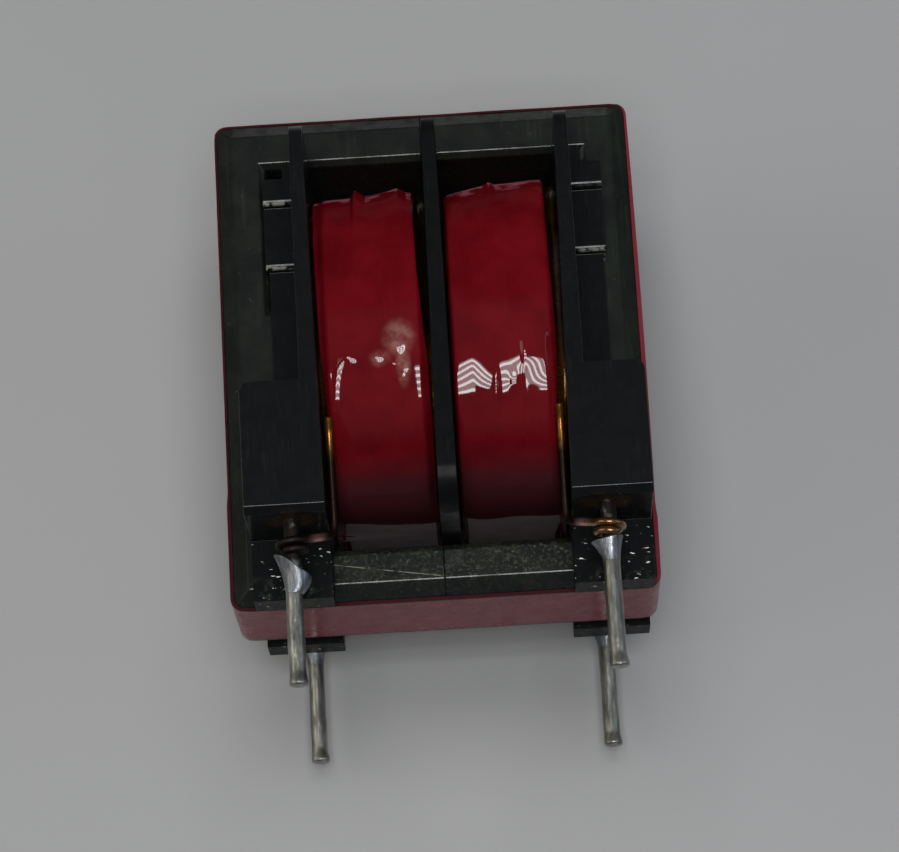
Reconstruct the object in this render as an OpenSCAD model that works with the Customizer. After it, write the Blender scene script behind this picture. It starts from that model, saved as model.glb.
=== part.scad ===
/* [Core] */
// Height of the core across its outer legs
core_h = 25; // [20:0.1:32]
// Length of the two E halves together, along the winding axis
core_l = 20.6; // [18:0.1:28]
// Thickness of the core
core_t = 7.2; // [5:0.1:12]
// Thickness of the upper and lower legs
leg_t = 2.5; // [1.5:0.1:4]
// Thickness of the back that joins the legs
back_t = 2.4; // [1.5:0.1:3]
// Height of the centre leg
centre_leg_h = 5; // [3:0.1:7]
// Width of the bevel along the outer edges of both faces
core_bevel = 0.75; // [0.2:0.05:1]
// Depth of that bevel into the thickness
core_bevel_depth = 0.6; // [0.2:0.05:1]
// Bevel along the edges of the windows
window_bevel = 0.3; // [0.1:0.05:0.6]
// Radius of the four outer corners
core_corner_r = 0.5; // [0.2:0.1:1.5]
// Thickness of the tape round the core
core_tape_t = 0.12; // [0.05:0.01:0.4]

/* [Bobbin] */
// Flange thickness at the top edge
flange_top_t = 0.65; // [0.5:0.05:1]
// Flange thickness at the pin side
flange_low_t = 0.95; // [0.6:0.05:1.3]
// Radius of the flange corners at the pin side
flange_r = 2; // [0.5:0.1:4]
// Radius of the flange corners at the top edge
flange_top_r = 1.2; // [0.5:0.1:4]
// Depth of the bobbin over its flanges
bobbin_d = 20.8; // [18:0.1:26]
// Wall of the tube round the centre leg
tube_wall = 0.8; // [0.5:0.05:1.2]
// Corner radius of the tube
tube_r = 0.5; // [0.2:0.05:1]
// Gap between the moulding and the ferrite
core_gap = 0.15; // [0.05:0.01:0.3]
// Free length of the bobbin between the two core halves
end_play = 0.9; // [0.1:0.05:1.2]

/* [Terminal blocks] */
// Length of a block, outward from its flange
block_l = 2.9; // [2:0.1:4]
// Height of a block
block_h = 6.5; // [4:0.1:8]
// Bevel along the lower edge of a block
block_bevel = 0.35; // [0.1:0.05:0.6]
// Thickness of the foot under a block
foot_t = 1.8; // [1:0.1:2.5]
// Height of the core above the board
standoff = 0.25; // [0.1:0.05:1]
// Radius of a block's upper outer corner
block_r = 0.5; // [0.1:0.1:1]

/* [Core stops] */
// Length of a core stop, from its end flange to the core's back
stop_l = 0.7; // [0.4:0.05:1.5]
// Height of a core stop on the end flange
stop_h = 4.65; // [2:0.05:5]
// Drop of a core stop below the window's upper edge
stop_drop = 1.1; // [0.5:0.1:2]
// Length of a core stop's lip, outward from the flange
lip_l = 1.7; // [1.2:0.1:2.5]
// Thickness of the lip
lip_t = 0.8; // [0.5:0.1:2]
// Height of the thicker band along the top of the lip
band_h = 1.4; // [0.4:0.05:2]
// Extra thickness of that band
band_t = 0.4; // [0.1:0.1:1]
// Length of the apron that runs from the lip down to the block, outward from the flange
apron_l = 1.55; // [1:0.05:2]
// Thickness of that apron
apron_t = 0.4; // [0.2:0.05:0.7]

/* [Pins] */
// Diameter of a pin's tinned tail
pin_d = 0.8; // [0.5:0.05:1]
// Thickness of the tin on the tail
tin_t = 0.02; // [0.01:0.005:0.04]
// Spacing of the pins along the winding axis
pin_pitch = 15; // [14.5:0.1:15.5]
// Spacing of the front and rear pin rows
row_pitch = 17.5; // [16:0.1:18.5]
// Length of the pin below the board side of the feet
pin_tail = 5; // [2:0.1:8]
// Depth of the pin in its block
pin_depth = 4.2; // [2:0.1:5]
// Bevel at the pin's tip
pin_tip = 0.12; // [0.05:0.01:0.2]

/* [Windings] */
// Build-up of the wound wire over the tube
winding_build = 4.85; // [2:0.05:5.2]
// Extra rounding of the windings, which bulge between the corners of the tube
winding_round = 1.35; // [0:0.05:2]
// Gap between a winding and the flanges
winding_gap = 0.05; // [0.02:0.01:0.2]
// Thickness of the tape over a winding
winding_tape_t = 0.2; // [0.05:0.01:0.5]
// Diameter of the wire
wire_d = 0.4; // [0.2:0.01:0.45]
// Gap between the tape's edges and the sides of the winding
tape_gap = 0.05; // [0.02:0.01:0.3]
// Turns of wire on each pin
wrap_turns = 1.25; // [0.75:0.5:1.75]
// Angle of the winding's lower bend at which the wire comes out of the tape
out_angle = 28; // [10:1:30]
// Angle of that bend at which the wire leaves the winding
leave_angle = 34; // [32:1:45]
// Distance behind the pins at which the wire turns towards its pin
lead_back = 1.6; // [1:0.1:2.2]
// Fall of the wire's end between the flange and the pin
lead_fall = 0.65; // [0.3:0.05:0.75]
// Radius of the solder where it meets the wrapped wire
solder_r = 0.8; // [0.65:0.01:0.9]
// Radius of the drop of solder on the left front pin
drop_r = 0.55; // [0.4:0.05:0.7]
// Height above the board at which the solder ends
solder_low = 0.05; // [0.05:0.05:0.4]
// Gap left between wire, pin and moulding
wire_gap = 0.02; // [0.01:0.01:0.05]

/* [Hidden] */
$fn = 48;
sliver = 0.01;

// Least wall of plastic left round a pin and above the winding tape
least_wall = 0.3;

function clamp(value, low, high) = max(low, min(value, high));

// Core
window_l = core_l - 2 * back_t;
window_h = (core_h - centre_leg_h) / 2 - leg_t;
window_y = (centre_leg_h + window_h) / 2;
core_x = -end_play / 2;
core_y = standoff + core_tape_t + core_h / 2;
core_tape_w = core_t - 2 * core_bevel_depth;

// Bobbin and windings
bobbin_l = window_l - 2 * stop_l - end_play;
tube_h = centre_leg_h + 2 * (core_gap + tube_wall);
tube_d = core_t + 2 * (core_gap + tube_wall);
build = min(
    winding_build,
    window_h - 2 * core_gap - tube_wall - winding_tape_t,
    (bobbin_d - tube_d) / 2 - winding_tape_t - least_wall
);
winding_h = tube_h + 2 * build;
winding_d = tube_d + 2 * build;
winding_r = min(tube_r + build + winding_round, winding_h / 2 - least_wall);
section_in = flange_low_t / 2;
section_out = bobbin_l / 2 - flange_low_t;
winding_w = section_out - section_in - 2 * winding_gap;
winding_x = (section_in + section_out) / 2;
tape_w = winding_w - 2 * tape_gap;
cut_w = wire_d + 2 * winding_gap + 2 * wire_gap;
bend_top = core_y - (winding_h / 2 - winding_r);
cut_top = bend_top - (winding_r + wire_gap) * sin(out_angle);
flange_h = core_h - 2 * leg_t - 2 * core_gap;

// Terminal blocks, as seen on the right front of the part
block_in = bobbin_l / 2;
block_low = core_y - flange_h / 2;
block_back = core_t / 2 + core_gap;
block_front = bobbin_d / 2;
stop_top = core_y + core_h / 2 - leg_t - stop_drop;

// Pins and wire ends
pin_r = pin_d / 2;
shank_r = pin_r - tin_t;
pin_x = clamp(pin_pitch / 2, block_in + pin_r + least_wall, block_in + block_l - pin_r - least_wall);
pin_z = clamp(row_pitch / 2, block_back + foot_t + solder_r + wire_gap, block_front - pin_r - least_wall);
pin_top = block_low + min(pin_depth, block_h - 2 * least_wall);
wire_r = wire_d / 2;
wrap_r = shank_r + wire_r + 2 * wire_gap;
wrap_pitch = wire_d + wire_gap;
lead_x = section_out - winding_gap - wire_gap - wire_r;
lead_y = block_low - wire_d;
lead_r = winding_r + wire_gap + wire_r;
lead_bend = 0.6;
wrap_start = lead_y - lead_fall;
wrap_end = wrap_start - wrap_turns * wrap_pitch;
wrap_from = -60;
wire_sides = 8;
solder_rise = wrap_end - wire_r - wire_gap - solder_low;
solder_skin = 0.05;
solder_steps = 2;

ferrite = "#2d3330";
black_plastic = "#191b1c";
red_tape = "#96121f";
copper = "#b4622a";
tin = "#bfc2c5";
solder_grey = "#a9adb2";

// Extrudes a profile drawn across Y and Z along the winding axis
module along_x(length) {
    rotate([90, 0, 90]) linear_extrude(height = length, center = true) children();
}

// Extrudes a profile drawn across X and Z along the height
module along_y(length) {
    rotate([90, 0, 0]) linear_extrude(height = length, center = true) children();
}

module round_rect(size, r) {
    square([size[0] - 2 * r, size[1]], center = true);
    square([size[0], size[1] - 2 * r], center = true);
    for (sx = [-1, 1], sy = [-1, 1]) {
        translate([sx * (size[0] / 2 - r), sy * (size[1] / 2 - r)]) circle(r);
    }
}

// Section of the core with its outer edges bevelled
module bevelled_section(w) {
    flat_w = w / 2 - core_bevel;
    side_t = core_t / 2 - core_bevel_depth;
    polygon([
        [w / 2, -side_t], [w / 2, side_t], [flat_w, core_t / 2], [-flat_w, core_t / 2],
        [-w / 2, side_t], [-w / 2, -side_t], [-flat_w, -core_t / 2], [flat_w, -core_t / 2]
    ]);
}

// Section of a window that flares towards both faces of the core
module flared_rect(w, t, flare) {
    end = t / 2 + sliver;
    polygon([
        [-w / 2, -t / 2 + flare], [-w / 2, t / 2 - flare], [-w / 2 - flare - sliver, end],
        [w / 2 + flare + sliver, end], [w / 2, t / 2 - flare], [w / 2, -t / 2 + flare],
        [w / 2 + flare + sliver, -end], [-w / 2 - flare - sliver, -end]
    ]);
}

module window_cut() {
    reach = 4 * window_bevel;
    intersection() {
        along_y(window_h + reach) flared_rect(window_l, core_t, window_bevel);
        along_x(window_l + reach) flared_rect(window_h, core_t, window_bevel);
    }
}

module whole_core() {
    translate([core_x, core_y, 0]) difference() {
        intersection() {
            linear_extrude(height = core_t, center = true) round_rect([core_l, core_h], core_corner_r);
            along_y(core_h) bevelled_section(core_l);
            along_x(core_l) bevelled_section(core_h);
        }
        for (s = [-1, 1]) translate([0, s * window_y, 0]) window_cut();
    }
}

// One E half: side is -1 for the left one and 1 for the right one
module core_half(side) {
    color(ferrite) intersection() {
        whole_core();
        translate([core_x + side * core_l / 2, core_y, 0])
            cube([core_l, 2 * core_h, 2 * core_t], center = true);
    }
}

module core_tape() {
    outer = [core_l + 2 * core_tape_t, core_h + 2 * core_tape_t];
    color(red_tape) translate([core_x, core_y, 0]) linear_extrude(height = core_tape_w, center = true)
        difference() {
            round_rect(outer, core_corner_r + core_tape_t);
            round_rect([core_l, core_h], core_corner_r);
        }
}

module flange_outline() {
    round_rect([flange_h, bobbin_d], flange_r);
    translate([flange_h / 4, 0]) round_rect([flange_h / 2, bobbin_d], flange_top_r);
}

// Lower end of an end flange, flush with the blocks beside it
module block_outline() {
    low = -flange_h / 2;
    side = bobbin_d / 2;
    polygon([
        [low, block_bevel - side], [low, side - block_bevel], [low + block_bevel, side],
        [0, side], [0, -side], [low + block_bevel, -side]
    ]);
}

// Flange that thickens towards the pins, between its two X edges at the top and below
module flange(top, low) {
    intersection() {
        along_x(2 * bobbin_l) children();
        linear_extrude(height = bobbin_d, center = true) polygon([
            [top[0], flange_h / 2], [top[1], flange_h / 2], [low[1], -flange_h / 2], [low[0], -flange_h / 2]
        ]);
    }
}

module end_flange() {
    outer = bobbin_l / 2;
    flange([outer - flange_top_t, outer], [outer - flange_low_t, outer]) {
        flange_outline();
        block_outline();
    }
}

module middle_flange() {
    flange([-flange_top_t / 2, flange_top_t / 2], [-flange_low_t / 2, flange_low_t / 2]) flange_outline();
}

// Terminal block with its foot and pin bore, on the right front
module terminal_block() {
    root = block_in - sliver;
    reach = block_l + sliver;
    top = block_low + block_h;
    difference() {
        union() {
            intersection() {
                translate([root, 0, 0]) rotate([90, 0, 90]) linear_extrude(height = reach) polygon([
                    [block_low, block_back], [top, block_back], [top, block_front],
                    [block_low + block_bevel, block_front], [block_low, block_front - block_bevel]
                ]);
                linear_extrude(height = block_front) union() {
                    translate([root, 0]) square([reach, top - block_r]);
                    translate([root, 0]) square([reach - block_r, top]);
                    translate([block_in + block_l - block_r, top - block_r]) circle(block_r);
                }
            }
            translate([root, 0, block_back]) cube([reach, top - block_r, foot_t]);
            translate([section_out, 0, block_back]) cube([flange_low_t, block_low + sliver, foot_t]);
        }
        translate([pin_x, pin_top, pin_z]) rotate([90, 0, 0]) cylinder(h = 2 * pin_depth, r = shank_r);
    }
}

// Stop on the right end flange for the core's back, with a lip and an apron over each face of the core
module core_stop() {
    low = stop_top - stop_h;
    root = block_in - sliver;
    translate([root, low, -block_back]) cube([stop_l + sliver, stop_h, 2 * block_back]);
    for (s = [0, 1]) mirror([0, 0, s]) {
        translate([root, low, block_back]) cube([lip_l, stop_h, lip_t]);
        translate([root, stop_top - band_h, block_back]) cube([lip_l, band_h, lip_t + band_t]);
        translate([root, low, block_back]) cube([stop_l + sliver, stop_h + stop_drop - core_gap, lip_t]);
        translate([root, block_low, block_back]) cube([apron_l + sliver, low + sliver - block_low, apron_t]);
    }
}

module bobbin() {
    color(black_plastic) difference() {
        union() {
            translate([0, core_y, 0]) {
                along_x(bobbin_l - flange_top_t) round_rect([tube_h, tube_d], tube_r);
                middle_flange();
            }
            for (s = [0, 1]) mirror([s, 0, 0]) {
                translate([0, core_y, 0]) end_flange();
                core_stop();
                for (r = [0, 1]) mirror([0, 0, r]) terminal_block();
            }
        }
        translate([0, core_y, 0])
            cube([2 * bobbin_l, centre_leg_h + 2 * core_gap, core_t + 2 * core_gap], center = true);
    }
}

// Ring round the tube, between two outlines
module wound_ring(width, inner, inner_r, outer, outer_r) {
    translate([0, core_y, 0]) along_x(width) difference() {
        round_rect(outer, outer_r);
        round_rect(inner, inner_r);
    }
}

module winding(side) {
    color(copper) translate([side * winding_x, 0, 0])
        wound_ring(winding_w, [tube_h, tube_d], tube_r, [winding_h, winding_d], winding_r);
}

// Tape over a winding, cut back beside the end flange where the wire comes out
module winding_tape(side) {
    tape_h = winding_h + 2 * winding_tape_t;
    tape_d = winding_d + 2 * winding_tape_t;
    color(red_tape) mirror([side < 0 ? 1 : 0, 0, 0]) difference() {
        translate([winding_x, 0, 0])
            wound_ring(tape_w, [winding_h, winding_d], winding_r,
                       [tape_h, tape_d], winding_r + winding_tape_t);
        translate([section_out - cut_w, cut_top + wire_gap - tape_h, -tape_d])
            cube([bobbin_l, tape_h, 2 * tape_d]);
    }
}

// Places a right front piece at the corner named by its row and side
module at_corner(row, side) {
    mirror([side < 0 ? 1 : 0, 0, 0]) mirror([0, 0, row < 0 ? 1 : 0]) children();
}

// Round pin, thicker where its tail has been dipped in tin
module pin(row, side) {
    tail = solder_low + pin_tail - pin_tip;
    color(tin) at_corner(row, side) translate([pin_x, solder_low, pin_z]) rotate([90, 0, 0]) {
        cylinder(h = tail, r = pin_r);
        translate([0, 0, tail]) cylinder(h = pin_tip, r1 = pin_r, r2 = pin_r - pin_tip);
        translate([0, 0, solder_low - pin_top]) cylinder(h = pin_top - solder_low, r = shank_r);
    }
}

function unit(v) = v / norm(v);

function path_tangents(path) = [
    for (i = [0 : len(path) - 1]) unit(path[min(i + 1, len(path) - 1)] - path[max(i - 1, 0)])
];

// Carries a normal along the path without twist
function carried_normals(tangents, normal, i = 0) = i == len(tangents) ? [] :
    let (n = unit(normal - (normal * tangents[i]) * tangents[i]))
    concat([n], carried_normals(tangents, n, i + 1));

module wire(path, first_normal) {
    tangents = path_tangents(path);
    normals = carried_normals(tangents, first_normal);
    last = len(path) - 1;
    ring_points = [
        for (i = [0 : last], k = [0 : wire_sides - 1])
            let (a = 360 * k / wire_sides)
            path[i] + wire_r * (cos(a) * normals[i] + sin(a) * cross(tangents[i], normals[i]))
    ];
    sides = [
        for (i = [0 : last - 1], k = [0 : wire_sides - 1])
            let (a = i * wire_sides + k, b = i * wire_sides + (k + 1) % wire_sides)
            [a, a + wire_sides, b + wire_sides, b]
    ];
    caps = [
        [for (k = [0 : wire_sides - 1]) k],
        [for (k = [wire_sides - 1 : -1 : 0]) last * wire_sides + k]
    ];
    polyhedron(points = ring_points, faces = concat(sides, caps), convexity = 8);
}

// Point of the wire's end on the lower bend of the winding, and round the pin
function on_bend(a) = [lead_x, bend_top - lead_r * sin(a), winding_d / 2 - winding_r + lead_r * cos(a)];
function on_pin(a) = [
    pin_x + wrap_r * sin(a), wrap_start - wrap_pitch * (a - wrap_from) / 360, pin_z + wrap_r * cos(a)
];

// Point at u along a curve that rounds the corner b between a and c
function rounded(a, b, c, u) = pow(1 - u, 2) * a + 2 * u * (1 - u) * b + pow(u, 2) * c;

// Wire end of the right front: off the winding's bend, across under the flange and round the pin
function lead_path() =
    let (
        leave = on_bend(leave_angle),
        corner = [lead_x, lead_y, pin_z - lead_back],
        down = corner + lead_bend * unit(leave - corner),
        across = corner + lead_bend * unit(on_pin(wrap_from) - corner),
        bend_step = (leave_angle - out_angle) / 2,
        corner_step = 0.25,
        wrap_step = 30
    )
    concat(
        [for (a = [out_angle : bend_step : leave_angle]) on_bend(a)],
        [for (u = [0 : corner_step : 1]) rounded(down, corner, across, u)],
        [for (a = [wrap_from : wrap_step : wrap_from + 360 * wrap_turns]) on_pin(a)]
    );

module lead(row, side) {
    color(copper) at_corner(row, side) wire(lead_path(), [1, 0, 0]);
}

// Radius of the solder at u, from 0 at its shoulder to 1 at its lower end
function solder_radius(u) = pin_r + solder_skin + (solder_r - solder_skin - pin_r) * pow(1 - u, 2);

// Solder that thins from the wound wire down to the pin; on the left front it has run into a drop
module solder(row, side) {
    fall = solder_rise * 3 / 4;
    color(solder_grey) at_corner(row, side) translate([pin_x, solder_low, pin_z]) rotate([-90, 0, 0])
        difference() {
            union() {
                rotate_extrude() polygon(concat(
                    [[0, 0], [0, solder_rise], [solder_radius(0), solder_rise]],
                    [for (i = [0 : solder_steps])
                        let (u = i / solder_steps)
                        [solder_radius(u), fall * (1 - u)]]
                ));
                if (row > 0 && side < 0)
                    translate([-drop_r / 2, 0, drop_r - solder_low]) sphere(drop_r);
            }
            cylinder(h = solder_rise + sliver, r = shank_r);
            translate([0, 0, -drop_r]) cylinder(h = drop_r, r = pin_r);
        }
}

core_half(-1);  // core_half_left
core_half(1);  // core_half_right
core_tape();
bobbin();
winding(-1);  // winding_left
winding(1);  // winding_right
winding_tape(-1);  // winding_tape_left
winding_tape(1);  // winding_tape_right
pin(1, -1);  // pin_front_left
pin(1, 1);  // pin_front_right
pin(-1, -1);  // pin_rear_left
pin(-1, 1);  // pin_rear_right
lead(1, -1);  // lead_front_left
lead(1, 1);  // lead_front_right
lead(-1, -1);  // lead_rear_left
lead(-1, 1);  // lead_rear_right
solder(1, -1);  // solder_front_left
solder(1, 1);  // solder_front_right
solder(-1, -1);  // solder_rear_left
solder(-1, 1);  // solder_rear_right
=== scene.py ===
"""Looks of a common mode choke: two ferrite halves taped round a black bobbin, two taped
windings, four tinned pins with the wire ends wound on and soldered.

Lengths in the code are millimetres, in the part's own frame: x to the right, y up the
windings from the board, z out of the front."""
import math

import bmesh
import bpy
import numpy as np
from mathutils import Matrix, Vector, noise


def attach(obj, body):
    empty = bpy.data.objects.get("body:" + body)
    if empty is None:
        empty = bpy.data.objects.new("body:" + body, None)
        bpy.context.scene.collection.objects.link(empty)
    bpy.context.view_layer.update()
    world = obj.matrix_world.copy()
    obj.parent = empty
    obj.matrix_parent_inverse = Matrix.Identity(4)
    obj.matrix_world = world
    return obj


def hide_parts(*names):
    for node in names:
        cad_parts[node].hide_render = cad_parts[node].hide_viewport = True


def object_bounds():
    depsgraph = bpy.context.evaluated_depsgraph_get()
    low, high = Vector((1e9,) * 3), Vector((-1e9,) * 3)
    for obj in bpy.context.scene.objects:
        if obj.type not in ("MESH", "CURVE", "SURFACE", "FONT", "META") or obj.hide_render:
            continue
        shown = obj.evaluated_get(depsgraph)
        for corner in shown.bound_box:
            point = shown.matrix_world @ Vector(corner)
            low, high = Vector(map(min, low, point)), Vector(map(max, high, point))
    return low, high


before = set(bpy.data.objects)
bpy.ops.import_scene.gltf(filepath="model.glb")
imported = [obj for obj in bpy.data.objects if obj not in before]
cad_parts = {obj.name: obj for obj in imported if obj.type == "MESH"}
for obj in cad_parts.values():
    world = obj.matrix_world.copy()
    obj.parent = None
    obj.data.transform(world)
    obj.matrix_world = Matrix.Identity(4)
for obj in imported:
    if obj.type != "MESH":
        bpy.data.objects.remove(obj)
cad_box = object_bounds()

MM = 0.001
CORE_MID = (-0.45, 12.87)      # middle of the core in x and y
CORE_HALF = (10.3, 12.5)       # half its length and height
CORE_CORNER_R = 0.5            # radius of its corners
CORE_TAPE_T = 0.12             # thickness of the tape round it
CORE_TAPE_HALF_W = 3.0         # half the width of that tape
WINDING_HALF = (8.3, 9.4)      # half the winding's height and depth, in y and z
WINDING_R = 6.7                # radius of its bends
WINDING_X = (0.525, 5.75)      # from the middle rib to the outer rib
WINDING_BUILD = 4.1            # depth of the wound wire
TURNS = 13                     # turns side by side in its outermost layer
TAPE_X = (0.575, 5.7)          # edges of the winding's tape
TAPE_T = 0.2                   # room for that tape over the winding
WIRE_D = 0.4
PIN_XZ = (7.5, 8.75)           # the pins' lines, on both sides of the middle
PIN_R = 0.38                   # radius of the shank
LIP_EDGES = [(17.12, 4.55), (20.37, 4.95)]   # lower front edges of the stops, as (y, z)
SCRATCH_Y, SCRATCH_SLOPE = 1.16, -0.162      # line of the scratch on the core's lower leg
SIDES = {-1: "left", 1: "right"}
CORNERS = {
    "front_left": (1, -1), "front_right": (1, 1),
    "rear_left": (-1, -1), "rear_right": (-1, 1),
}


# Helpers for form

def ease(low, high, value):
    """0 at low, 1 at high, smooth between them and level beyond; low may be the larger."""
    t = min(1.0, max(0.0, (value - low) / (high - low)))
    return t * t * (3 - 2 * t)


def hill(value, middle, width):
    """A smooth bump of height 1."""
    return math.exp(-((value - middle) / width) ** 2)


def ripple(x, y, z, scale, seed):
    """Smooth unevenness between about -1 and 1."""
    return noise.noise(Vector((x * scale + seed, y * scale - seed, z * scale + 0.37 * seed)))


def along(value, stops):
    """Reading between the lines of a table of (value, result)."""
    return float(np.interp(value, *zip(*stops)))


def rounded_loop(half_a, half_b, radius, spacing):
    """Points round a rectangle with rounded corners, as (a, b, na, nb, share of the way).

    na, nb is the outward direction. The loop starts at a = 0, b = half_b and runs towards
    falling a. spacing(a, b) gives the distance wanted between neighbours."""
    flat_a, flat_b = half_a - radius, half_b - radius
    bend = radius * math.pi / 2
    legs = [flat_a, bend, 2 * flat_b, bend, 2 * flat_a, bend, 2 * flat_b, bend, flat_a]
    bends = {1: (90, -flat_a, flat_b), 3: (180, -flat_a, -flat_b),
             5: (270, flat_a, -flat_b), 7: (0, flat_a, flat_b)}
    total = sum(legs)

    def at(s):
        for leg, length in enumerate(legs):
            if s <= length or leg == len(legs) - 1:
                break
            s -= length
        if leg in bends:
            turn, mid_a, mid_b = bends[leg]
            angle = math.radians(turn) + s / radius
            na, nb = math.cos(angle), math.sin(angle)
            return mid_a + radius * na, mid_b + radius * nb, na, nb
        return {
            0: (-s, half_b, 0.0, 1.0),
            2: (-half_a, flat_b - s, -1.0, 0.0),
            4: (-flat_a + s, -half_b, 0.0, -1.0),
            6: (half_a, -flat_b + s, 1.0, 0.0),
            8: (flat_a - s, half_b, 0.0, 1.0),
        }[leg]

    points, s = [], 0.0
    while s < total - 1e-6:
        here = at(s)
        points.append((*here, s / total))
        s += spacing(here[0], here[1])
    return points


def circle(count):
    """Directions round a circle, as (cosine, sine)."""
    angles = [2 * math.pi * k / count for k in range(count)]
    return [(math.cos(angle), math.sin(angle)) for angle in angles]


def settle(name, mesh, look, node, crease):
    """Turns the faces outward, smooths them up to the crease angle and shows the mesh in the
    node's place."""
    form = bmesh.new()
    form.from_mesh(mesh)
    bmesh.ops.recalc_face_normals(form, faces=form.faces)
    form.to_mesh(mesh)
    form.free()
    mesh.polygons.foreach_set("use_smooth", [True] * len(mesh.polygons))
    mesh.set_sharp_from_angle(angle=math.radians(crease))
    mesh.materials.clear()
    mesh.materials.append(look)
    shown = bpy.data.objects.new(name, mesh)
    bpy.context.scene.collection.objects.link(shown)
    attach(shown, "root")
    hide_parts(node)


def piece(name, vertices, faces, look, slot, node, crease):
    """A closed mesh piece on the part's body, from points in millimetres."""
    mesh = bpy.data.meshes.new(name)
    mesh.from_pydata([(x * MM, y * MM, z * MM) for x, y, z in vertices], [], faces)
    settle(name, mesh, look, node, crease)


def band(outer, inner):
    """A closed band from two grids of points [row][column]; the rows run round and meet."""
    rows, columns = len(outer), len(outer[0])
    vertices = [p for row in outer for p in row] + [p for row in inner for p in row]
    shift, last = rows * columns, columns - 1
    faces = []
    for r in range(rows):
        here, there = r * columns, (r + 1) % rows * columns
        under, beyond = shift + here, shift + there
        for c in range(last):
            faces.append((here + c, here + c + 1, there + c + 1, there + c))
            faces.append((under + c, beyond + c, beyond + c + 1, under + c + 1))
        faces.append((here, there, beyond, under))
        faces.append((here + last, under + last, beyond + last, there + last))
    return vertices, faces


def tube(rings):
    """A closed form from rings of points, each end filled."""
    count = len(rings[0])
    vertices = [p for ring in rings for p in ring]
    faces = []
    for r in range(len(rings) - 1):
        for k in range(count):
            a, b = r * count + k, r * count + (k + 1) % count
            faces.append((a, b, b + count, a + count))
    faces.append(tuple(range(count - 1, -1, -1)))
    faces.append(tuple(range((len(rings) - 1) * count, len(rings) * count)))
    return vertices, faces


# Helpers for finishes

def put(tree, kind, feeds=None, **settings):
    """A shader node with its settings, its inputs set or linked."""
    node = tree.nodes.new("ShaderNode" + kind)
    for key, value in settings.items():
        setattr(node, key, value)
    for key, value in (feeds or {}).items():
        if isinstance(value, bpy.types.NodeSocket):
            tree.links.new(value, node.inputs[key])
        else:
            node.inputs[key].default_value = value
    return node


def sums(tree, operation, a, b=0.0, clamp=False):
    return put(tree, "Math", {0: a, 1: b}, operation=operation, use_clamp=clamp).outputs[0]


def plus(tree, a, b, clamp=False):
    return sums(tree, "ADD", a, b, clamp)


def minus(tree, a, b, clamp=False):
    return sums(tree, "SUBTRACT", a, b, clamp)


def times(tree, first, *others):
    for other in others:
        first = sums(tree, "MULTIPLY", first, other)
    return first


def largest(tree, first, *others):
    for other in others:
        first = sums(tree, "MAXIMUM", first, other)
    return first


def unsigned(tree, value):
    return sums(tree, "ABSOLUTE", value)


def ramp(tree, value, low, high, start=0.0, end=1.0):
    """value from low..high as start..end, smooth and clamped."""
    feeds = {"Value": value, "From Min": low, "From Max": high, "To Min": start, "To Max": end}
    return put(tree, "MapRange", feeds, interpolation_type="SMOOTHSTEP").outputs[0]


def fade(tree, value, low, high):
    """1 below low and 0 above high."""
    return ramp(tree, value, low, high, 1.0, 0.0)


def tint(tree, mask, below, above):
    """One colour where mask is 0 and the other where it is 1."""
    node = put(tree, "Mix", {0: mask}, data_type="RGBA")
    for index, value in ((6, below), (7, above)):
        if isinstance(value, bpy.types.NodeSocket):
            tree.links.new(value, node.inputs[index])
        else:
            node.inputs[index].default_value = (*value, 1)
    return node.outputs[2]


def grain(tree, where, scale, detail=3.0, rough=0.55, warp=0.0):
    """Cloudy noise about 0.5; scale is in clouds per millimetre."""
    feeds = {"Vector": where, "Scale": scale, "Detail": detail, "Roughness": rough,
             "Distortion": warp}
    return put(tree, "TexNoise", feeds).outputs["Fac"]


def mottle(tree, where, scale, detail, span, result=(0.0, 1.0), rough=0.55):
    """Cloudy noise, its values in span spread over result."""
    return ramp(tree, grain(tree, where, scale, detail, rough), *span, *result)


def axes_of(tree, vector):
    return put(tree, "SeparateXYZ", {0: vector}).outputs


def laid(tree, where, scale, rotation=(0.0, 0.0, 0.0)):
    """The place turned and stretched, for effects that have a direction."""
    return put(tree, "Mapping", {"Vector": where, "Rotation": rotation, "Scale": scale}).outputs[0]


def group(name, inputs, outputs):
    """An empty shader node group with its sockets, and its two end nodes."""
    tree = bpy.data.node_groups.new(name, "ShaderNodeTree")
    for label, kind, value in inputs:
        socket = tree.interface.new_socket(label, in_out="INPUT", socket_type="NodeSocket" + kind)
        if value is not None:
            socket.default_value = value
    for label, kind in outputs:
        tree.interface.new_socket(label, in_out="OUTPUT", socket_type="NodeSocket" + kind)
    take, give = tree.nodes.new("NodeGroupInput"), tree.nodes.new("NodeGroupOutput")
    return tree, take.outputs, give.inputs


def use(tree, which, **feeds):
    """The one output of a group placed in a material."""
    return put(tree, "Group", feeds, node_tree=which).outputs[0]


def finish(name, **constants):
    """A material with its surface shader, and the place on the part in millimetres."""
    material = bpy.data.materials.new(name)
    material.use_nodes = True
    tree = material.node_tree
    shader = tree.nodes["Principled BSDF"]
    for key, value in constants.items():
        shader.inputs[key.replace("_", " ")].default_value = value
    place = put(tree, "TexCoord").outputs["Object"]
    where = put(tree, "VectorMath", {0: place, "Scale": 1 / MM}, operation="SCALE").outputs[0]
    return material, tree, shader, where


def feed(tree, shader, **values):
    """Links values to the shader's inputs."""
    for key, value in values.items():
        tree.links.new(value, shader.inputs[key.replace("_", " ")])


def bump(tree, shader, height, strength, distance):
    """A height of 0 to 1 as a bump on the shader, distance millimetres deep."""
    feeds = {"Height": height, "Strength": strength, "Distance": distance * MM}
    feed(tree, shader, Normal=put(tree, "Bump", feeds).outputs[0])


# Effects shared by several finishes

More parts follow.
